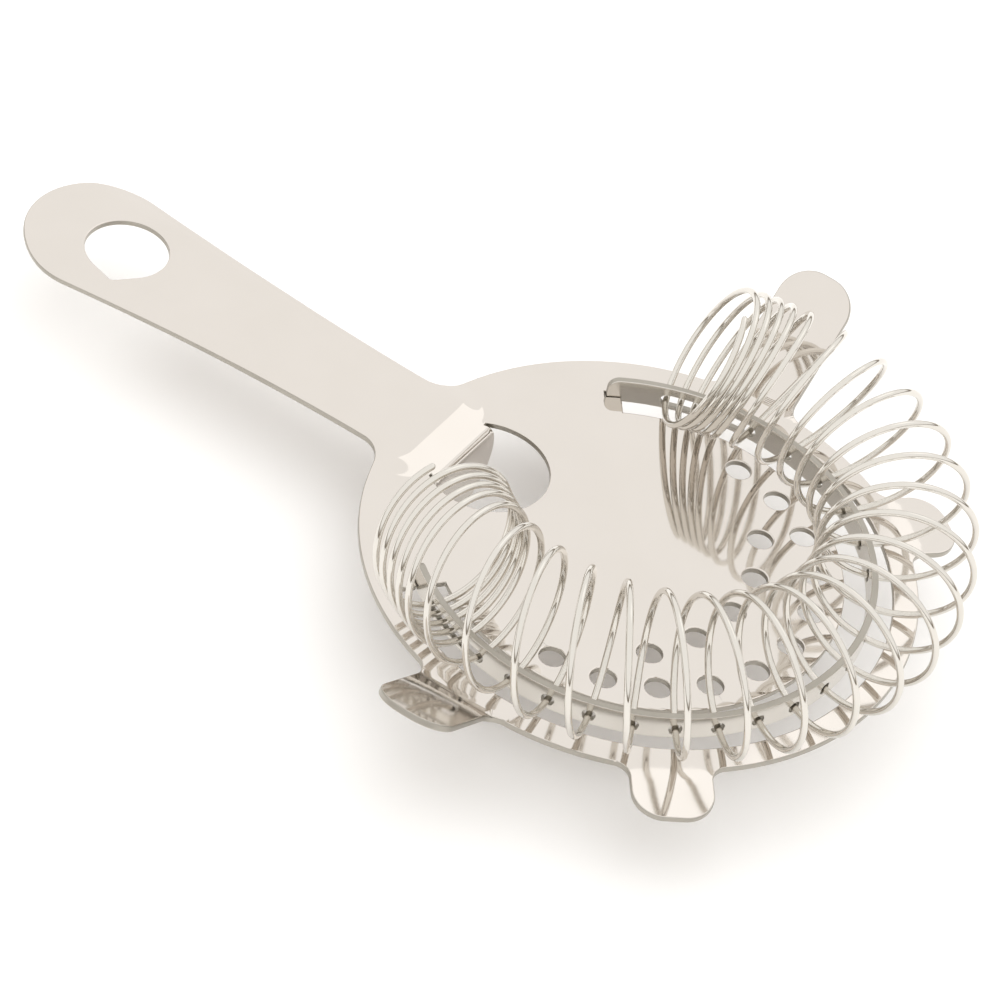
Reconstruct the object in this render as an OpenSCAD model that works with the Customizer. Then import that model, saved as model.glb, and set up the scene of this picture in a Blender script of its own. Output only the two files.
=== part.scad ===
/* [Plate] */
// Diameter of the round plate
disc_d = 80; // [76:0.5:84]
// Thickness of the sheet steel
sheet_t = 1; // [0.8:0.1:1.2]
// Diameter of the drain holes
drain_d = 3.7; // [3:0.1:4.2]
// Drain holes in the outer row
outer_drains = 11; // [9:2:11]
// Radius of the outer row of drain holes
outer_row_r = 25.1; // [24.5:0.1:25.6]

/* [Handle] */
// Distance from the plate's centre to the handle's tip
handle_reach = 106; // [100:0.5:110]
// Width of the handle at the neck
neck_w = 16; // [14:0.5:18]
// Width of the handle at its widest, near the tip
grip_w = 23; // [21:0.5:24]
// Height of the pressed step between the plate and the handle
step_h = 0.8; // [0.4:0.1:0.9]
// Diameter of the hanging hole
hang_d = 12.4; // [11:0.2:13.2]

/* [Prongs and ears] */
// Angle of the front prongs from the plate's centre line
prong_angle = 52; // [46:1:58]
// Width of a front prong
prong_w = 11.5; // [10:0.5:13]
// Distance from the plate's centre to a prong's tip
prong_reach = 48; // [46.5:0.5:50]
// Downward bend of the front prongs
prong_bend = 6; // [0:1:12]
// Width of a side ear
ear_w = 11.5; // [10:0.5:13]
// Length beyond the plate's edge of the ear on the left, seen from the handle's tip
left_ear_l = 22; // [16:0.5:23]
// Upward bend of the left ear
left_ear_bend = 40; // [20:1:42]
// Length of the right ear
right_ear_l = 18; // [14:0.5:21.5]
// Upward bend of the right ear
right_ear_bend = 30; // [20:1:42]

/* [Finger tab] */
// Diameter of the window that the finger tab is folded out of
window_d = 18; // [16:0.5:19]
// Length of the finger tab below the plate
tab_l = 13.5; // [10:0.1:14]

/* [Spring rail] */
// Radius of the rail's centre line
rail_r = 33; // [32.6:0.1:33.4]
// Height of the rail above the plate
rail_h = 3; // [2.5:0.1:4]
// Half of the angle that the rail covers
rail_half = 131; // [129:1:132]
// Width of the slot that the spring's turns hang over
slot_w = 7; // [6:0.5:7.5]

/* [Spring] */
// Diameter of the spring wire
wire_d = 1; // [0.8:0.1:1]
// Diameter of the spring's turns, between wire centres
coil_d = 22; // [21:0.2:22.8]
// Distance from the plate's centre to the spring's axis at its ends
coil_r = 32.2; // [32:0.1:33]
// How far the spring's axis bows outwards in the middle
coil_bow = 2; // [1.6:0.1:2.6]
// Number of turns
turns = 29; // [27:1:30]
// Turns that lie close together at each end
close_turns = 5; // [3.5:0.5:5.5]
// How far the first turns lean along the spring, in degrees
first_lean = 13; // [8:1:15]
// How far the last turns lean along the spring, in degrees
last_lean = 27; // [18:1:28]

/* [Hidden] */

disc_r = disc_d / 2;
cut = 1;                          // how far a cutter stands past a face
drain_step = 17.45;               // angle between neighbours in the outer row
inner_arc_x = -11.55;             // centre of the inner row's arc
inner_arc_r = 27.1;
inner_step = 16.9;
inner_drains = 5;

neck_fillet = 4;                  // the concave corners, where the handle meets the plate
neck_x = -sqrt(pow(disc_r + neck_fillet, 2) - pow(neck_w / 2 + neck_fillet, 2));
neck_touch = [neck_x, neck_w / 2 + neck_fillet] * disc_r / (disc_r + neck_fillet);
handle_end_x = -handle_reach + grip_w / 2;
grip_x = -85;                     // where the handle nears its full width
grip_near_w = 21;
hang_x = -90;
hang_corner = 7.4;                // the hanging hole has one shallow corner, this far from its centre
hang_corner_a = -72;
panel_side = [-33.5, 10];         // the raised panel runs on into the plate
panel_end = [-31.5, 7.5];
ramp_x = -35;                     // the step's slope lies between ramp_x and the panel's end
panel_lap = 1.5;                  // how far the panel's rim overlaps the plate

tab_x = -29.7;                    // the fold line of the finger tab
window_x = -26;
tab_gap = 0.4;
tab_w = 2 * sqrt(pow(window_d / 2, 2) - pow(tab_x - window_x, 2)) - 2 * tab_gap;

ear_x = -5;                       // middle of the ears along the handle's line
root_fillet = 2.5;
prong_tip_r = 4.2;
ear_tip_r = 5;

rail_t = 1;
slot_half = 127;                  // the slot stops short of the rail's ends
rail_hole_d = wire_d + 0.8;

wire_r = wire_d / 2;
coil_a = coil_d / 2;
coil_foot = wire_r + 0.1;         // the turns lie just above the plate
coil_start = -126;                // the spring's ends, as angles round the plate
coil_end = 110;
lean_at = 120;                    // the angle at which a turn has its full lean and twist
end_twist = 11;
bow_rate = 0.75;
close_pitch = 3.3;
pitch_blend = 1.5;                // turns over which the pitch changes
open_pitch = close_pitch + (coil_end - coil_start - close_pitch * turns) / (turns - 2 * close_turns);
steps = 24;                       // rings in each turn
sides = 6;
rings = turns * steps + 1;

// A ramp that starts level and, after w, rises at slope one
function ramp(u, w) = u <= 0 ? 0 : u >= w ? u - w / 2 : u * u / (2 * w);

// Angle round the plate of the spring's axis, n turns from the spring's first end
function turn_angle(n) = coil_start + close_pitch * n
    + (open_pitch - close_pitch) * (ramp(n - close_turns + pitch_blend / 2, pitch_blend)
    - ramp(n - turns + close_turns + pitch_blend / 2, pitch_blend));

// Angle of the wire round the spring's own axis: it starts at the top and goes out, down and in
function wind_angle(n) = 90 - 360 * n;

// How far from the plate's centre, how leaning and how twisted the turn at angle a is
function axis_r(a) = coil_r + coil_bow * cos(bow_rate * a);
function axis_lean(a) = (a < 0 ? first_lean : last_lean) * pow(a / lean_at, 2);
function axis_twist(a) = end_twist * pow(a / lean_at, 2);

// A point of the spring, r from its axis and off beside the turn's own plane
function coil_point(n, r, off) =
    let (a = turn_angle(n),
         lean = axis_lean(a),
         facing = a + axis_twist(a),
         out = [cos(facing), sin(facing), 0],
         along = [-sin(facing), cos(facing), 0],
         up = [0, 0, cos(lean)] - sin(lean) * along,
         side = [0, 0, sin(lean)] + cos(lean) * along,
         axis = [axis_r(a) * cos(a), axis_r(a) * sin(a), coil_foot + coil_a * cos(lean)])
    axis + r * (cos(wind_angle(n)) * out + sin(wind_angle(n)) * up) + off * side;

// Where the wire goes through the rail, found from a first guess n in a few steps
function crossing(n, left) = left == 0 ? n
    : crossing(n + (norm([coil_point(n, coil_a, 0).x, coil_point(n, coil_a, 0).y]) - rail_r)
    / (2 * PI * coil_a), left - 1);

// Points of a rounded corner: centre c, radius r, from angle a to angle b
function arc(c, r, a, b, n) = [for (i = [0:n]) c + r * [cos(a + (b - a) * i / n), sin(a + (b - a) * i / n)]];

// A tongue along +X from the origin, round-cornered at its tip, with fillets at its root
module tongue(w, l, tip_r, fillet) {
    polygon(concat(
        [[-cut, -w / 2 - fillet]],
        arc([fillet, -w / 2 - fillet], fillet, 180, 90, 8),
        arc([l - tip_r, -w / 2 + tip_r], tip_r, -90, 0, 12),
        arc([l - tip_r, w / 2 - tip_r], tip_r, 0, 90, 12),
        arc([fillet, w / 2 + fillet], fillet, -90, -180, 8),
        [[-cut, w / 2 + fillet]]));
}

// A circular band in plan, from angle -half to +half
module band(r, w, half, h) {
    rotate([0, 0, -half])
        rotate_extrude(angle = 2 * half, $fn = 180)
            translate([r - w / 2, 0]) square([w, h]);
}

// The handle in plan, wider towards its round end
module handle_plan() {
    tip = grip_w / 2;
    fillet_a = atan2(neck_touch.y, neck_touch.x) - 180;
    polygon(concat(
        arc([neck_x, neck_w / 2 + neck_fillet], neck_fillet, fillet_a, -90, 8),
        [[grip_x, grip_near_w / 2]],
        arc([handle_end_x, 0], tip, 90, 270, 32),
        [[grip_x, -grip_near_w / 2]],
        arc([neck_x, -neck_w / 2 - neck_fillet], neck_fillet, 90, -fillet_a, 8)));
}

// The raised panel in plan, its edges drawn in by some distance
module panel_plan(inset) {
    polygon([
        [neck_x - inset, neck_touch.y - inset],
        [neck_touch.x, neck_touch.y - inset],
        [panel_side.x, panel_side.y - inset],
        [panel_end.x, panel_end.y - inset],
        [panel_end.x, inset - panel_end.y],
        [panel_side.x, inset - panel_side.y],
        [neck_touch.x, inset - neck_touch.y],
        [neck_x - inset, inset - neck_touch.y]]);
}

// The handle and its pressed step, seen from the side
module handle_side() {
    polygon([
        [-handle_reach - cut, step_h],
        [ramp_x, step_h],
        [panel_end.x, 0],
        [panel_end.x, -sheet_t],
        [ramp_x, step_h - sheet_t],
        [-handle_reach - cut, step_h - sheet_t]]);
}

module handle() {
    intersection() {
        rotate([90, 0, 0])
            linear_extrude(2 * grip_w, center = true) handle_side();
        translate([0, 0, -sheet_t - cut])
            linear_extrude(sheet_t + step_h + 2 * cut) union() {
                handle_plan();
                intersection() {
                    panel_plan(0);
                    circle(disc_r, $fn = 180);
                }
            }
    }
}

// The room in the flat plate that the raised panel stands in
module panel_room() {
    translate([0, 0, -sheet_t - cut]) linear_extrude(sheet_t + 2 * cut) panel_plan(panel_lap);
}

module front_prong() {
    translate([disc_r, 0, 0]) rotate([0, prong_bend, 0])
        translate([0, 0, -sheet_t])
            linear_extrude(sheet_t)
                tongue(prong_w, prong_reach - disc_r, prong_tip_r, root_fillet);
}

module side_ear(l, bend) {
    translate([ear_x, disc_r - cut, 0]) rotate([bend, 0, 0]) rotate([0, 0, 90])
        translate([0, 0, -sheet_t])
            linear_extrude(sheet_t) tongue(ear_w, l, ear_tip_r, root_fillet);
}

module finger_tab() {
    translate([tab_x, 0, 0]) rotate([0, 90, 0])
        translate([0, 0, -sheet_t])
            linear_extrude(sheet_t)
                polygon(concat(
                    [[0, -tab_w / 2]],
                    arc([tab_l - tab_w / 2, 0], tab_w / 2, -90, 90, 32),
                    [[0, tab_w / 2]]));
}

// The window is a circle with one straight side, at the tab's fold line
module window() {
    intersection() {
        translate([window_x, 0, -sheet_t - cut])
            cylinder(d = window_d, h = sheet_t + 2 * cut, $fn = 96);
        translate([tab_x, -window_d, -sheet_t - cut])
            cube([2 * window_d, 2 * window_d, sheet_t + 2 * cut]);
    }
}

module drain(x, y) {
    translate([x, y, -sheet_t - cut]) cylinder(d = drain_d, h = sheet_t + 2 * cut, $fn = 48);
}

module drains() {
    for (i = [0:outer_drains - 1]) {
        a = (i - (outer_drains - 1) / 2) * drain_step;
        drain(outer_row_r * cos(a), outer_row_r * sin(a));
    }
    for (i = [0:inner_drains - 1]) {
        a = (i - (inner_drains - 1) / 2) * inner_step;
        drain(inner_arc_x + inner_arc_r * cos(a), inner_arc_r * sin(a));
    }
}

// A round hole with one shallow corner, whose sides are tangent to the round
module hanging_hole() {
    half = acos(hang_d / 2 / hang_corner);
    translate([hang_x, 0, -sheet_t - cut]) {
        cylinder(d = hang_d, h = sheet_t + step_h + 2 * cut, $fn = 96);
        rotate([0, 0, hang_corner_a])
            linear_extrude(sheet_t + step_h + 2 * cut)
                polygon([
                    [0, 0],
                    hang_d / 2 * [cos(half), -sin(half)],
                    [hang_corner, 0],
                    hang_d / 2 * [cos(half), sin(half)]]);
    }
}

// One stamping: plate, handle, prongs, ears and the folded finger tab
module strainer_plate() {
    color("gainsboro") difference() {
        union() {
            difference() {
                translate([0, 0, -sheet_t]) cylinder(r = disc_r, h = sheet_t, $fn = 180);
                panel_room();
            }
            handle();
            for (side = [-1, 1]) rotate([0, 0, side * prong_angle]) front_prong();
            side_ear(left_ear_l, left_ear_bend);
            mirror([0, 1, 0]) side_ear(right_ear_l, right_ear_bend);
            finger_tab();
        }
        translate([0, 0, -sheet_t - cut]) band(rail_r, slot_w, slot_half, sheet_t + 2 * cut);
        translate([0, 0, -sheet_t - cut]) band(rail_r, rail_t, rail_half, sheet_t + 2 * cut);
        window();
        drains();
        hanging_hole();
    }
}

// A strip on edge, with a hole for the bottom of each turn of the spring
module spring_rail() {
    color("silver") difference() {
        translate([0, 0, -sheet_t]) band(rail_r, rail_t, rail_half, rail_h + sheet_t);
        for (k = [0:turns - 1]) {
            foot = coil_point(crossing(k + 0.5, 4), coil_a, 0);
            translate(foot) rotate([0, 0, atan2(foot.y, foot.x)]) rotate([0, 90, 0])
                cylinder(d = rail_hole_d, h = 2 * rail_t + cut, center = true, $fn = 24);
        }
    }
}

// One ring of the wire: a small polygon square to the turn's own plane
function ring(n) = [for (j = [0:sides - 1])
    coil_point(n, coil_a + wire_r * cos(360 * j / sides), wire_r * sin(360 * j / sides))];

module coil_spring() {
    points = [for (i = [0:rings - 1]) each ring(i / steps)];
    last = (rings - 1) * sides;
    walls = [for (i = [0:rings - 2], j = [0:sides - 1])
        [i * sides + j, i * sides + (j + 1) % sides,
         (i + 1) * sides + (j + 1) % sides, (i + 1) * sides + j]];
    first_end = [for (j = [0:sides - 1]) sides - 1 - j];
    last_end = [for (j = [0:sides - 1]) last + j];
    color("lightgray") polyhedron(points, concat(walls, [first_end], [last_end]));
}

strainer_plate();
spring_rail();
coil_spring();
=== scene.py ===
import math

import bpy
import numpy as np
from mathutils import Matrix, Vector
from mathutils.geometry import delaunay_2d_cdt


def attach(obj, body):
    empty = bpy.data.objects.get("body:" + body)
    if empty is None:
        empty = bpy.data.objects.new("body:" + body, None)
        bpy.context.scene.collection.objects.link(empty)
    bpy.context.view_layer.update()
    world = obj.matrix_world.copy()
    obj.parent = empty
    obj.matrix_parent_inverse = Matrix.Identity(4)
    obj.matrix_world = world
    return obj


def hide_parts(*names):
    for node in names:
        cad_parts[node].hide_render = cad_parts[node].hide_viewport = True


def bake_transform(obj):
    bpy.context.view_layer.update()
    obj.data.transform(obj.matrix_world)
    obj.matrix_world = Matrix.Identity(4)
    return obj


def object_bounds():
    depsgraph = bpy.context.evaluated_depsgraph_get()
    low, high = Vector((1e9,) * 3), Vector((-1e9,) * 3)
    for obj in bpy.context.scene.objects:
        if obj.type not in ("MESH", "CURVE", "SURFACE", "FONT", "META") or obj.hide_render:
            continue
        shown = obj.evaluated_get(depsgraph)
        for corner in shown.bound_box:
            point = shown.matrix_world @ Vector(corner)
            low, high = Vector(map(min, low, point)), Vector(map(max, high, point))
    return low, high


# Hawthorne strainer. Sizes are in mm, and mm() turns them to metres where a mesh or a light is made.
# +X is the front of the plate, the handle runs along -X, and the spring stands on the +Z side.

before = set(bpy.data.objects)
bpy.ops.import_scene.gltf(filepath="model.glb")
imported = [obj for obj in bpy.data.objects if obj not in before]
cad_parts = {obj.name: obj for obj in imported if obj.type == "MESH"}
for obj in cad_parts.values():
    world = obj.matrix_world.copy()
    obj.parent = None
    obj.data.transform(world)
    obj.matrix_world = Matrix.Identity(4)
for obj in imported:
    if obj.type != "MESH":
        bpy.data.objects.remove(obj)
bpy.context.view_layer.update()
print("frame loaded:", sorted(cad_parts))


def mm(value):
    return value * 0.001


def arcPoints(centre, radius, start, end, step=0.3):
    # centre + radius (cos a, sin a), for a from start to end in degrees, one point about every step mm
    count = max(4, int(abs(math.radians(end - start)) * radius / step))
    a = np.radians(np.linspace(start, end, count + 1))
    return np.column_stack([centre[0] + radius * np.cos(a), centre[1] + radius * np.sin(a)])


def turned(points, degrees, shift=(0, 0)):
    # (x cos a - y sin a, x sin a + y cos a) + shift
    c, s = math.cos(math.radians(degrees)), math.sin(math.radians(degrees))
    return points @ np.array([[c, s], [-s, c]]) + np.array(shift)


def angleOf(point):
    return math.degrees(math.atan2(point[1], point[0]))


def closedLoop(*runs, step=0.9):
    # runs joined end to end, doubles dropped, and long straight stretches given a point every step
    points = np.vstack(runs)
    points = points[np.linalg.norm(points - np.roll(points, 1, axis=0), axis=1) > 0.1]
    ends = np.roll(points, -1, axis=0)
    shares = np.maximum(1, np.ceil(np.linalg.norm(ends - points, axis=1) / step)).astype(int)
    return np.vstack([a + (b - a) * np.arange(n)[:, None] / n
                      for a, b, n in zip(points, ends, shares)])


def insideLoop(points, loop):
    # even-odd rule: a ray along +X from an inner point crosses the loop an odd number of times
    x, y = points[:, 0, None], points[:, 1, None]
    a, b = loop[None], np.roll(loop, -1, axis=0)[None]
    spans = (a[..., 1] > y) != (b[..., 1] > y)
    rise = np.where(b[..., 1] == a[..., 1], 1, b[..., 1] - a[..., 1])
    across = a[..., 0] + (y - a[..., 1]) * (b[..., 0] - a[..., 0]) / rise
    return (spans & (x < across)).sum(axis=1) % 2 == 1


def gapTo(points, rim):
    # distance from each point to the nearest rim point
    best = np.full(len(points), np.inf)
    for part in np.array_split(rim, len(rim) // 300 + 1):
        best = np.minimum(best, np.linalg.norm(points[:, None] - part[None], axis=2).min(axis=1))
    return best


def dotGrid(low, high, step):
    # rows of dots, each second row half a step along, so that neighbours make even triangles
    x, y = np.meshgrid(np.arange(low[0], high[0], step), np.arange(low[1], high[1], step * 0.866))
    x = x + (np.arange(len(x)) % 2)[:, None] * step / 2
    return np.column_stack([x.ravel(), y.ravel()])


def cutBlank(outline, holes, step, fineZones=()):
    # the flat blank as triangles over rim points and a dot grid, finer in the zones that will be bent
    rim = np.vstack([outline, *holes])
    dots = dotGrid(rim.min(axis=0), rim.max(axis=0), step)
    # dots keep clear of the rim by this share of their step
    clear = 0.65
    room = np.full(len(dots), clear * step)
    for low, high, fine in fineZones:
        outside = ~np.all((dots > low) & (dots < high), axis=1)
        finer = dotGrid(low, high, fine)
        dots = np.vstack([dots[outside], finer])
        room = np.concatenate([room[outside], np.full(len(finer), clear * fine)])

    def solid(points):
        kept = insideLoop(points, outline)
        for hole in holes:
            kept &= ~insideLoop(points, hole)
        return kept

    dots = dots[solid(dots) & (gapTo(dots, rim) > room)]
    edges = []
    for loop in [outline, *holes]:
        first = len(edges)
        edges += [(first + i, first + (i + 1) % len(loop)) for i in range(len(loop))]
    points = [Vector(p) for p in np.vstack([rim, dots]).tolist()]
    flat, _, faces, *_ = delaunay_2d_cdt(points, edges, [], 1, 1e-5)
    flat, faces = np.array(flat), np.array(faces)
    faces = faces[solid(flat[faces].mean(axis=1))]
    used, faces = np.unique(faces, return_inverse=True)
    return flat[used], faces.reshape(-1, 3)


def folded(points, where, start, direction, radius, degrees):
    # past the line through start, s = distance along direction: the sheet follows an arc of radius
    # up to the angle, then runs straight: (r sin a + rest cos a, r (1 - cos a) + rest sin a)
    along = np.array([*direction, 0.0])
    s = (points - np.array([*start, 0.0])) @ along
    where = where & (s > 0)
    sign, full = math.copysign(1, degrees), math.radians(abs(degrees))
    a = np.minimum(s[where] / radius, full)
    rest = s[where] - radius * a
    moved = radius * np.sin(a) + rest * np.cos(a) - s[where]
    points[where] += moved[:, None] * along
    points[where, 2] += sign * (radius * (1 - np.cos(a)) + rest * np.sin(a))
    return points


def makePiece(name, points, faces, materials):
    mesh = bpy.data.meshes.new(name)
    mesh.from_pydata(mm(points).tolist(), [], faces)
    mesh.polygons.foreach_set("use_smooth", np.ones(len(mesh.polygons), bool))
    for material in materials:
        mesh.materials.append(material)
    piece = bpy.data.objects.new(name, mesh)
    bpy.context.scene.collection.objects.link(piece)
    return piece


def makeSheet(name, points, faces, thickness, rimRound, materials):
    # the middle surface thickened both ways, with its sheared rims rounded over
    piece = makePiece(name, points, faces.tolist(), materials)
    wall = piece.modifiers.new("gauge", "SOLIDIFY")
    wall.thickness = mm(thickness)
    wall.offset = 0
    wall.material_offset_rim = 1
    rim = piece.modifiers.new("rim", "BEVEL")
    rim.width = mm(rimRound)
    rim.segments = 3
    rim.limit_method = "ANGLE"
    rim.angle_limit = math.radians(50)
    rim.harden_normals = True
    rim.use_clamp_overlap = False
    return piece


def linearHex(text):
    # sRGB channel c to linear: c / 12.92, or ((c + 0.055) / 1.055) ^ 2.4
    channels = [int(text[i:i + 2], 16) / 255 for i in (1, 3, 5)]
    return (*[c / 12.92 if c <= 0.04045 else ((c + 0.055) / 1.055) ** 2.4 for c in channels], 1)


def addNode(tree, kind, settings=None, links=None, **attributes):
    # settings are socket values, links are (socket, source node, its output)
    node = tree.nodes.new(kind)
    for key, value in attributes.items():
        setattr(node, key, value)
    for key, value in (settings or {}).items():
        node.inputs[key].default_value = value
    for key, source, output in links or []:
        tree.links.new(source.outputs[output], node.inputs[key])
    return node


def metalMaterial(name, colour, tint, roughness, peel, scratch, onPath=False):
    # bare metal: colour mottled towards tint, roughness from low to high by smudges,
    # a slow waviness (peel) and fine lines (scratch), each given as size in mm and height in mm
    material = bpy.data.materials.new(name)
    material.use_nodes = True
    tree = material.node_tree
    tree.nodes.clear()
    place = addNode(tree, "ShaderNodeTexCoord")
    source = "UV" if onPath else "Object"
    smudgeSize = 14
    smudges = addNode(tree, "ShaderNodeTexNoise",
                      {"Scale": 1 / mm(smudgeSize), "Detail": 3.0, "Roughness": 0.6},
                      [("Vector", place, "Object")])
    mottle = addNode(tree, "ShaderNodeMix", {"A": linearHex(colour), "B": linearHex(tint)},
                     [("Factor", smudges, "Fac")], data_type="RGBA")
    gloss = addNode(tree, "ShaderNodeMapRange",
                    {"From Min": 0.3, "From Max": 0.7, "To Min": roughness[0], "To Max": roughness[1]},
                    [("Value", smudges, "Fac")])
    stretch = addNode(tree, "ShaderNodeMapping", {"Scale": scratch["stretch"]},
                      [("Vector", place, source)])
    lines = addNode(tree, "ShaderNodeTexNoise", {"Scale": 1 / mm(scratch["size"]), "Detail": 2.0},
                    [("Vector", stretch, "Vector")])
    waves = addNode(tree, "ShaderNodeTexNoise", {"Scale": 1 / mm(peel["size"]), "Detail": 1.0},
                    [("Vector", place, "Object")])
    wavy = addNode(tree, "ShaderNodeBump", {"Strength": 1.0, "Distance": mm(peel["height"])},
                   [("Height", waves, "Fac")])
    lined = addNode(tree, "ShaderNodeBump", {"Strength": 1.0, "Distance": mm(scratch["height"])},
                    [("Height", lines, "Fac"), ("Normal", wavy, "Normal")])
    steel = addNode(tree, "ShaderNodeBsdfPrincipled", {"Metallic": 1.0},
                    [("Base Color", mottle, "Result"), ("Roughness", gloss, "Result"),
                     ("Normal", lined, "Normal")])
    addNode(tree, "ShaderNodeOutputMaterial", None, [("Surface", steel, "BSDF")])
    return material


# Stainless sheet, rolled and buffed after stamping: nearly a mirror, with faint waves and wiping lines
buffedSheet = metalMaterial(
    "buffedStainlessSheet", "#e0dad4", "#dad4cd", (0.035, 0.08), {"size": 22, "height": 0.02},
    {"size": 0.5, "height": 0.0004, "stretch": (0.08, 1, 1)})
# The same sheet where the die cut it: torn grey grain across the edge, which scatters the light
shearedEdge = metalMaterial(
    "shearedStainlessEdge", "#b9b4ab", "#a29d94", (0.28, 0.42), {"size": 3, "height": 0.01},
    {"size": 0.25, "height": 0.003, "stretch": (1, 1, 0.1)})
# Strip rolled to gauge and slit: bright, with lines along its length
rolledStrip = metalMaterial(
    "rolledStainlessStrip", "#dedad3", "#d4cfc7", (0.16, 0.26), {"size": 6, "height": 0.01},
    {"size": 0.3, "height": 0.001, "stretch": (1, 1, 0.1)})
# Spring wire pulled through a die: bright and round, with die lines that follow the wire
drawnWire = metalMaterial(
    "drawnStainlessWire", "#e2ded8", "#d8d4cc", (0.06, 0.12), {"size": 5, "height": 0.004},
    {"size": 0.4, "height": 0.0006, "stretch": (0.02, 1, 1)}, onPath=True)


strainerPlate = {
    "radius": 40, "gauge": 1.0, "rimRound": 0.22, "dots": 1.5,
    "neckHalf": 8, "neckFillet": 4, "tipX": -94.5, "tipRadius": 11.5, "tipTurn": 7,
    "stepHeight": 0.8, "stepRun": 5.0, "stepZone": ((-43, -12), (-29, 12), 0.55),
    "panelEnd": -33.6, "panelHalf": 10, "panelCorner": 4,
    "hangX": -90, "hangRadius": 6.2,
    "hangCornerOut": 6.2, "hangCornerRadius": 1.0, "hangCornerTurn": -72,
    "prongTurn": 52, "prongHalf": 5.75, "prongReach": 48.2, "prongTip": 4.4,
    "prongFold": 6, "prongBend": -6, "fillet": 2.5, "rootGap": 0.6,
    # each ear: its side of the plate, its flat reach and its bend
    "ears": ((1, 61.2, 40), (-1, 57.2, 30)),
    "earX": -5, "earHalf": 5.75, "earTip": 5, "earRoot": 1, "earFold": 3,
    "foldX": -31.2, "foldRadius": 1.0, "windowX": -26, "windowRadius": 9, "tabRadius": 8.6,
    "slotInner": 29.3, "slotOuter": 36.3, "slotHalf": 127,
    "slitInner": 32.4, "slitOuter": 33.6, "slitHalf": 131.3,
    # drain rows: x of the arc's centre, its radius, degrees between holes, holes each side of y = 0
    "drainRadius": 1.85, "outerDrains": (0, 25.1, 17.45, 5), "innerDrains": (-11.55, 27.1, 16.9, 2),
}


def tongueEdge(p, half, reach, tip, aside=0):
    # a tongue along +X that leaves the plate by fillets tangent to its rim and to the tongue's sides;
    # fillet centre: v = half + f, u = sqrt((R + f)^2 - (v - aside)^2), the plate's centre at (0, aside)
    r, f = p["radius"], p["fillet"]
    v = half + f
    low = (math.sqrt((r + f) ** 2 - (-v - aside) ** 2), -v)
    high = (math.sqrt((r + f) ** 2 - (v - aside) ** 2), v)
    return np.vstack([
        arcPoints(low, f, angleOf((-low[0], aside - low[1])), 90),
        arcPoints((reach - tip, tip - half), tip, -90, 0),
        arcPoints((reach - tip, half - tip), tip, 0, 90),
        arcPoints(high, f, -90, angleOf((-high[0], aside - high[1]))),
    ])


def handleEdge(p):
    # side: y = neck + rise t^power along the handle, so that it meets the tip's arc at tipTurn degrees
    r, f, half = p["radius"], p["neckFillet"], p["neckHalf"]
    neck = (-math.sqrt((r + f) ** 2 - (half + f) ** 2), half + f)
    turn = math.radians(p["tipTurn"])
    end = (p["tipX"] + p["tipRadius"] * math.sin(turn), p["tipRadius"] * math.cos(turn))
    power = math.tan(turn) * (neck[0] - end[0]) / (end[1] - half)
    t = np.linspace(0, 1, 60)
    side = np.column_stack([neck[0] + (end[0] - neck[0]) * t, half + (end[1] - half) * t ** power])
    fillet = arcPoints(neck, f, angleOf((-neck[0], -neck[1])), -90)
    tip = arcPoints((p["tipX"], 0), p["tipRadius"], 90 - p["tipTurn"], 270 + p["tipTurn"])
    flip = np.array([1, -1])
    return np.vstack([fillet, side, tip, side[::-1] * flip, fillet[::-1] * flip])


def plateOutline(p):
    # the tongues and the handle in order round the rim, joined by arcs of the plate's radius
    ear = [turned(tongueEdge(p, p["earHalf"], reach, p["earTip"], p["earX"] * side), 90 * side,
                  (p["earX"], 0)) for side, reach, _ in p["ears"]]
    prong = [turned(tongueEdge(p, p["prongHalf"], p["prongReach"], p["prongTip"]), p["prongTurn"] * s)
             for s in (1, -1)]
    parts = [prong[1], prong[0], ear[0], handleEdge(p), ear[1]]
    runs = []
    for part, after in zip(parts, parts[1:] + parts[:1]):
        start, end = angleOf(part[-1]), angleOf(after[0])
        runs += [part, arcPoints((0, 0), p["radius"], start, end + 360 * (end < start), 0.6)]
    return closedLoop(*runs)


def slotLoop(p):
    # the wide slot from -slotHalf to slotHalf, running on at both ends as a slit for the rail's foot
    inner, outer, half = p["slotInner"], p["slotOuter"], p["slotHalf"]
    slitIn, slitOut, far = p["slitInner"], p["slitOuter"], p["slitHalf"]
    upper = [arcPoints((0, 0), slitOut, half, far), arcPoints((0, 0), slitIn, far, half)]
    flip = np.array([1, -1])
    lower = [u[::-1] * flip for u in upper[::-1]]
    return closedLoop(arcPoints((0, 0), outer, -half, half, 0.6), *upper,
                      arcPoints((0, 0), inner, half, -half, 0.6), *lower)


def tabSlit(p):
    # the cut that frees the finger tab: between two arcs round the window's centre, ending at the fold
    centre = (p["windowX"], 0)
    wide = math.degrees(math.acos((p["foldX"] - centre[0]) / p["windowRadius"]))
    tight = math.degrees(math.acos((p["foldX"] - centre[0]) / p["tabRadius"]))
    return closedLoop(arcPoints(centre, p["windowRadius"], -wide, wide),
                      arcPoints(centre, p["tabRadius"], tight, -tight))


def hangingLoop(p):
    # a round hole and a small corner round, joined by the two lines that touch both
    half = math.degrees(math.acos((p["hangRadius"] - p["hangCornerRadius"]) / p["hangCornerOut"]))
    big = arcPoints((0, 0), p["hangRadius"], half, 360 - half)
    small = arcPoints((p["hangCornerOut"], 0), p["hangCornerRadius"], -half, half, 0.15)
    return closedLoop(turned(np.vstack([big, small]), p["hangCornerTurn"], (p["hangX"], 0)))


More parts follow.
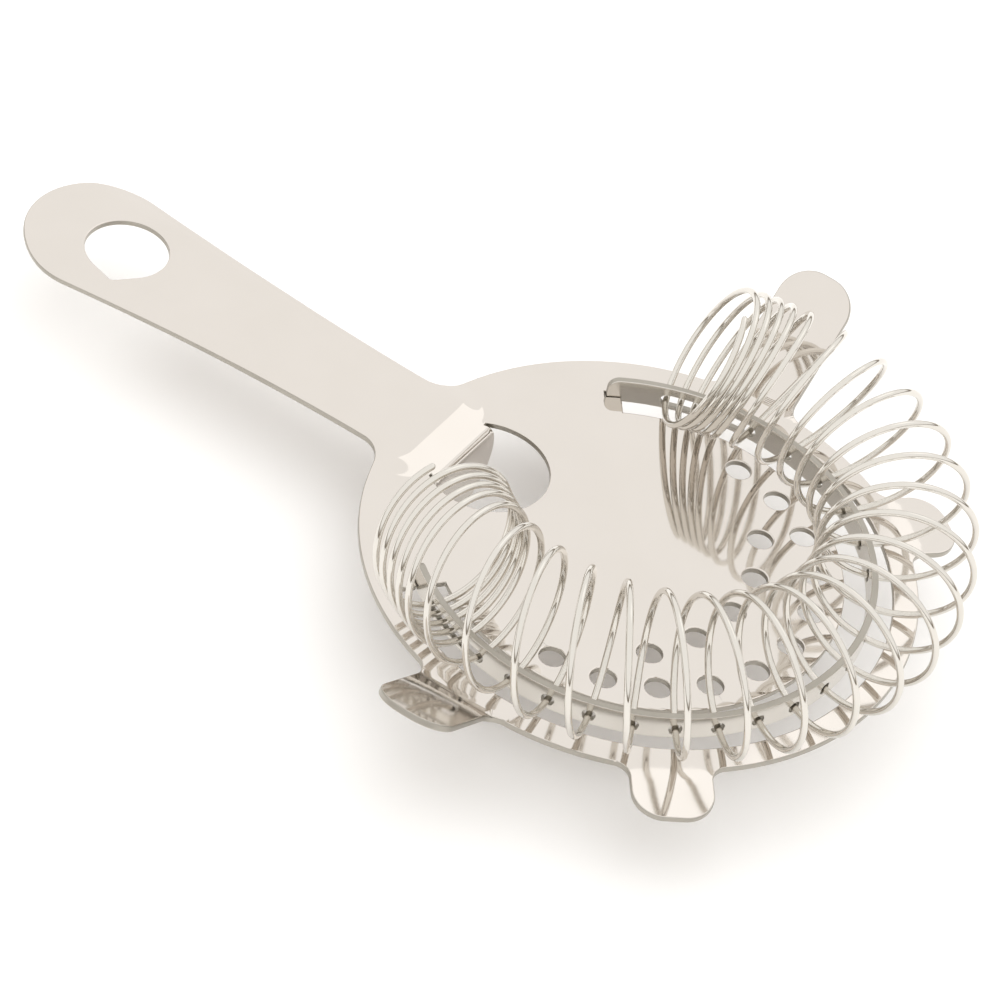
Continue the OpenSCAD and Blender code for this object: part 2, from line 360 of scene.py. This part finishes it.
def drainLoops(p):
    loops = []
    for x, radius, step, side in (p["outerDrains"], p["innerDrains"]):
        for k in range(-side, side + 1):
            a = math.radians(step * k)
            centre = (x + radius * math.cos(a), radius * math.sin(a))
            loops.append(arcPoints(centre, p["drainRadius"], 0, 360, 0.25)[:-1])
    return loops


def pressedStep(p, x, y):
    # distance to a round-cornered panel: |max(q, 0)| + min(max(q), 0) - c,
    # then a smooth slope 3t^2 - 2t^3 across it
    q = np.column_stack([x - p["panelEnd"], np.abs(y) - p["panelHalf"]]) + p["panelCorner"]
    away = np.linalg.norm(np.maximum(q, 0), axis=1) + np.minimum(q.max(axis=1), 0) - p["panelCorner"]
    t = np.clip(0.5 - away / p["stepRun"], 0, 1)
    return p["stepHeight"] * t * t * (3 - 2 * t)


def buildPlate(p):
    outline = plateOutline(p)
    holes = [slotLoop(p), tabSlit(p), hangingLoop(p), *drainLoops(p)]
    flat, faces = cutBlank(outline, holes, p["dots"], [p["stepZone"]])
    x, y = flat[:, 0], flat[:, 1]
    points = np.column_stack([x, y, np.full(len(flat), -p["gauge"] / 2)])
    tabEdge = (p["tabRadius"] + p["windowRadius"]) / 2
    onTab = (x > p["foldX"]) & (np.hypot(x - p["windowX"], y) < tabEdge)
    points[:, 2] += pressedStep(p, x, y)
    points = folded(points, onTab, (p["foldX"], 0), (1, 0), p["foldRadius"], -90)
    for side, _, bend in p["ears"]:
        a = math.radians(p["prongTurn"] * side)
        out = (math.cos(a), math.sin(a))
        near = np.hypot(x, y) > p["radius"] + p["rootGap"] / 2
        near &= np.abs(x * out[1] - y * out[0]) < p["prongHalf"] + p["fillet"]
        fold = p["radius"] + p["rootGap"]
        points = folded(points, near & (x > 0), (out[0] * fold, out[1] * fold), out,
                        p["prongFold"], p["prongBend"])
        near = np.abs(x - p["earX"]) < p["earHalf"] + p["fillet"]
        near &= y * side > p["radius"] - p["earRoot"]
        fold = p["radius"] - p["rootGap"]
        points = folded(points, near, (p["earX"], side * fold), (0, side), p["earFold"], bend)
    return makeSheet("stampedPlate", points, faces, p["gauge"], p["rimRound"],
                     [buffedSheet, shearedEdge])


springRail = {
    "radius": 33, "gauge": 1.0, "rimRound": 0.2, "dots": 0.8,
    "low": -1, "high": 3, "half": 131, "corner": 1.6, "holeRadius": 0.9,
}

coilSpring = {
    "wireRadius": 0.5, "turnRadius": 11, "foot": 0.6, "start": -126, "end": 110,
    "turns": 29, "closeTurns": 5, "closePitch": 3.3, "pitchBlend": 1.5,
    "axisRadius": 32.2, "bow": 2, "bowRate": 0.75,
    "firstLean": 13, "lastLean": 27, "twist": 11, "fullAt": 120, "rings": 96, "sides": 14,
}


def turnAngle(s, n):
    # degrees round the plate after n turns: close + (open - close) (ramp(n - c) - ramp(n - N + c)),
    # where ramp(u) = u^2 / 2w up to w and u - w / 2 past it
    w, close, count = s["pitchBlend"], s["closeTurns"], s["turns"]
    spare = s["end"] - s["start"] - s["closePitch"] * count
    openPitch = s["closePitch"] + spare / (count - 2 * close)

    def ramp(u):
        u = np.maximum(u + w / 2, 0)
        return np.where(u < w, u * u / (2 * w), u - w / 2)

    return s["start"] + s["closePitch"] * n + (openPitch - s["closePitch"]) * (
        ramp(n - close) - ramp(n - count + close))


def springPath(s, n):
    # axis point + t (cos w out + sin w up), w = 90 - 360 n: over the top, out, down and in;
    # axis at R + b cos(0.75 a) from the centre; lean and twist of the turn's plane grow as a^2
    angle = turnAngle(s, n)
    a, w = np.radians(angle), np.radians(90 - 360 * n)
    share = (angle / s["fullAt"]) ** 2
    lean = np.radians(np.where(angle < 0, s["firstLean"], s["lastLean"]) * share)
    facing = a + np.radians(s["twist"] * share)
    flat = np.zeros(len(n))
    out = np.column_stack([np.cos(facing), np.sin(facing), flat])
    along = np.column_stack([-np.sin(facing), np.cos(facing), flat])
    up = np.column_stack([flat, flat, np.cos(lean)]) - np.sin(lean)[:, None] * along
    reach = s["axisRadius"] + s["bow"] * np.cos(s["bowRate"] * a)
    rise = s["foot"] + s["turnRadius"] * np.cos(lean)
    axis = np.column_stack([reach * np.cos(a), reach * np.sin(a), rise])
    outward = np.cos(w)[:, None] * out + np.sin(w)[:, None] * up
    return axis + s["turnRadius"] * outward, outward


def railCrossings(p, s):
    # where the wire meets the rail: n + (r(n) - R) / (2 pi t), a few times over
    n = np.arange(s["turns"]) + 0.5
    for _ in range(4):
        path, _ = springPath(s, n)
        n = n + (np.hypot(path[:, 0], path[:, 1]) - p["radius"]) / (2 * math.pi * s["turnRadius"])
    path, _ = springPath(s, n)
    return np.column_stack([np.arctan2(path[:, 1], path[:, 0]) * p["radius"], path[:, 2]])


def buildRail(p, s):
    # flat strip (length, height) with its holes, then rolled up: (R cos(l / R), R sin(l / R), h)
    reach = math.radians(p["half"]) * p["radius"]
    outline = closedLoop(
        np.array([[-reach, p["low"]], [reach, p["low"]]]),
        arcPoints((reach - p["corner"], p["high"] - p["corner"]), p["corner"], 0, 90),
        arcPoints((p["corner"] - reach, p["high"] - p["corner"]), p["corner"], 90, 180), step=0.8)
    places, close, r = railCrossings(p, s), s["closeTurns"], p["holeRadius"]
    spans = [(places[0], places[close]), (places[-1 - close], places[-1])]
    spans += [(a, a) for a in places[close + 1:-1 - close]]
    holes = [closedLoop(arcPoints(a, r, 90, 270, 0.3), arcPoints(b, r, -90, 90, 0.3), step=0.6)
             for a, b in spans]
    flat, faces = cutBlank(outline, holes, p["dots"])
    a = flat[:, 0] / p["radius"]
    points = np.column_stack([p["radius"] * np.cos(a), p["radius"] * np.sin(a), flat[:, 1]])
    return makeSheet("rolledRail", points, faces, p["gauge"], p["rimRound"],
                     [rolledStrip, shearedEdge])


def buildSpring(s):
    # wire: path + radius (cos v N + sin v B), N towards the turn's middle, with domed ends
    n = np.linspace(0, s["turns"], s["turns"] * s["rings"] + 1)
    path, outward = springPath(s, n)
    run = np.gradient(path, axis=0)
    run /= np.linalg.norm(run, axis=1)[:, None]
    inward = -outward
    inward -= (inward * run).sum(axis=1)[:, None] * run
    inward /= np.linalg.norm(inward, axis=1)[:, None]
    beside = np.cross(run, inward)
    dome = np.array([0.35, 0.75, 0.95])
    size = np.ones(len(n))
    size[:3], size[-3:] = dome, dome[::-1]
    length = np.concatenate([[0], np.cumsum(np.linalg.norm(np.diff(path, axis=0), axis=1))])
    back = s["wireRadius"] * (1 - np.sqrt(1 - dome ** 2))
    for i, b in enumerate(back):
        path[i] = path[3] - run[3] * (s["wireRadius"] - b)
        path[-1 - i] = path[-4] + run[-4] * (s["wireRadius"] - b)
    v = np.linspace(0, 2 * math.pi, s["sides"], endpoint=False)
    rings = path[:, None] + s["wireRadius"] * size[:, None, None] * (
        np.cos(v)[None, :, None] * inward[:, None] + np.sin(v)[None, :, None] * beside[:, None])
    points = rings.reshape(-1, 3)
    count, sides = len(n), s["sides"]
    i, j = np.meshgrid(np.arange(count - 1), np.arange(sides), indexing="ij")
    k = (j + 1) % sides
    walls = np.stack([i * sides + j, (i + 1) * sides + j, (i + 1) * sides + k, i * sides + k], axis=-1)
    walls = walls.reshape(-1, 4)[:, ::-1]
    ends = [list(range(sides)), list(range(len(points) - 1, len(points) - sides - 1, -1))]
    piece = makePiece("springWire", points, walls.tolist() + ends, [drawnWire])
    layer = piece.data.uv_layers.new(name="alongWire")
    across = s["wireRadius"] * 2 * math.pi / sides
    u = np.stack([length[i], length[i + 1], length[i + 1], length[i]], axis=-1).reshape(-1, 4)[:, ::-1]
    w = np.stack([j, j, j + 1, j + 1], axis=-1).reshape(-1, 4)[:, ::-1] * across
    uv = np.stack([u, w], axis=-1).reshape(-1, 2)
    uv = np.vstack([mm(uv), np.zeros((2 * sides, 2))])
    layer.data.foreach_set("uv", uv.ravel())
    return piece


plate = buildPlate(strainerPlate)
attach(plate, "strainer")
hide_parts("strainer_plate")
print("plate cut, stepped and folded")

rail = buildRail(springRail, coilSpring)
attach(rail, "strainer")
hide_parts("spring_rail")
print("rail rolled")

spring = buildSpring(coilSpring)
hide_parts("coil_spring")
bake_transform(spring)
print("spring wound")


studio = {
    "view": {"azimuth": 23.62, "elevation": 43.24, "roll": 13.97, "distance": 675.7, "lens": 173.6,
             "slide": (-19.7, 7.9)},
    "floorSize": 4000, "floorColour": "#fdfcfb",
    "roomLow": "#7f7568", "roomHigh": "#fffefc", "roomRise": (0.02, 0.22), "roomGlow": 1.12,
    "softboxes": [
        {"name": "neckSoftbox", "azimuth": 176, "elevation": 50, "distance": 1100, "size": 560,
         "glow": 0.25, "seen": True},
        {"name": "floorFill", "azimuth": 0, "elevation": 89, "distance": 1100, "size": 1500,
         "glow": 0.5, "seen": False},
    ],
}


def sphereFrame(azimuth, elevation):
    # azimuth 0 looks along +Y: back = (sin a cos e, -cos a cos e, sin e), right = (cos a, sin a, 0)
    a, e = math.radians(azimuth), math.radians(elevation)
    back = Vector((math.sin(a) * math.cos(e), -math.cos(a) * math.cos(e), math.sin(e)))
    right = Vector((math.cos(a), math.sin(a), 0))
    return right, back.cross(right), back


def addCamera(v):
    # stands off from the plate's centre, slides in its own plane and rolls about its line of sight
    right, up, back = sphereFrame(v["azimuth"], v["elevation"])
    roll = math.radians(v["roll"])
    side = right * math.cos(roll) + up * math.sin(roll)
    top = up * math.cos(roll) - right * math.sin(roll)
    camera = bpy.data.objects.new("camera", bpy.data.cameras.new("camera"))
    bpy.context.scene.collection.objects.link(camera)
    place = back * mm(v["distance"]) + side * mm(v["slide"][0]) + top * mm(v["slide"][1])
    turn = Matrix((side, top, back)).transposed().to_4x4()
    camera.matrix_world = Matrix.Translation(place) @ turn
    camera.data.lens = v["lens"]
    camera.data.clip_start = 0.05
    bpy.context.scene.camera = camera


def addSoftbox(box):
    # an even square source: power = pi * area * glow
    light = bpy.data.lights.new(box["name"], "AREA")
    light.shape = "SQUARE"
    light.size = mm(box["size"])
    light.energy = math.pi * light.size ** 2 * box["glow"]
    lamp = bpy.data.objects.new(box["name"], light)
    bpy.context.scene.collection.objects.link(lamp)
    right, up, back = sphereFrame(box["azimuth"], box["elevation"])
    lamp.matrix_world = Matrix.Translation(back * mm(box["distance"])) @ Matrix(
        (right, up, back)).transposed().to_4x4()
    lamp.visible_glossy = box["seen"]
    lamp.visible_camera = False


def addFloor():
    # matt paper under the lowest point of the strainer
    half, low = mm(studio["floorSize"] / 2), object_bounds()[0].z
    mesh = bpy.data.meshes.new("floor")
    corners = [(-half, -half, low), (half, -half, low), (half, half, low), (-half, half, low)]
    mesh.from_pydata(corners, [], [(0, 1, 2, 3)])
    floor = bpy.data.objects.new("floor", mesh)
    bpy.context.scene.collection.objects.link(floor)
    paper = bpy.data.materials.new("mattPaper")
    paper.use_nodes = True
    surface = paper.node_tree.nodes["Principled BSDF"]
    surface.inputs["Base Color"].default_value = linearHex(studio["floorColour"])
    surface.inputs["Roughness"].default_value = 0.9
    mesh.materials.append(paper)


def addRoom():
    # a pale room that darkens towards the horizon: the mix follows the sine of the height angle
    world = bpy.data.worlds.new("room")
    world.use_nodes = True
    tree = world.node_tree
    tree.nodes.clear()
    low, high = studio["roomRise"]
    way = addNode(tree, "ShaderNodeTexCoord")
    parts = addNode(tree, "ShaderNodeSeparateXYZ", None, [("Vector", way, "Generated")])
    rise = addNode(tree, "ShaderNodeMapRange", {"From Min": low, "From Max": high},
                   [("Value", parts, "Z")], interpolation_type="SMOOTHSTEP")
    ends = {"A": linearHex(studio["roomLow"]), "B": linearHex(studio["roomHigh"])}
    shade = addNode(tree, "ShaderNodeMix", ends, [("Factor", rise, "Result")], data_type="RGBA")
    sky = addNode(tree, "ShaderNodeBackground", {"Strength": studio["roomGlow"]},
                  [("Color", shade, "Result")])
    addNode(tree, "ShaderNodeOutputWorld", None, [("Surface", sky, "Background")])
    bpy.context.scene.world = world
    bpy.context.scene.view_settings.view_transform = "Standard"


addCamera(studio["view"])
addFloor()
addRoom()
for softbox in studio["softboxes"]:
    addSoftbox(softbox)
print("camera, floor and lights placed")
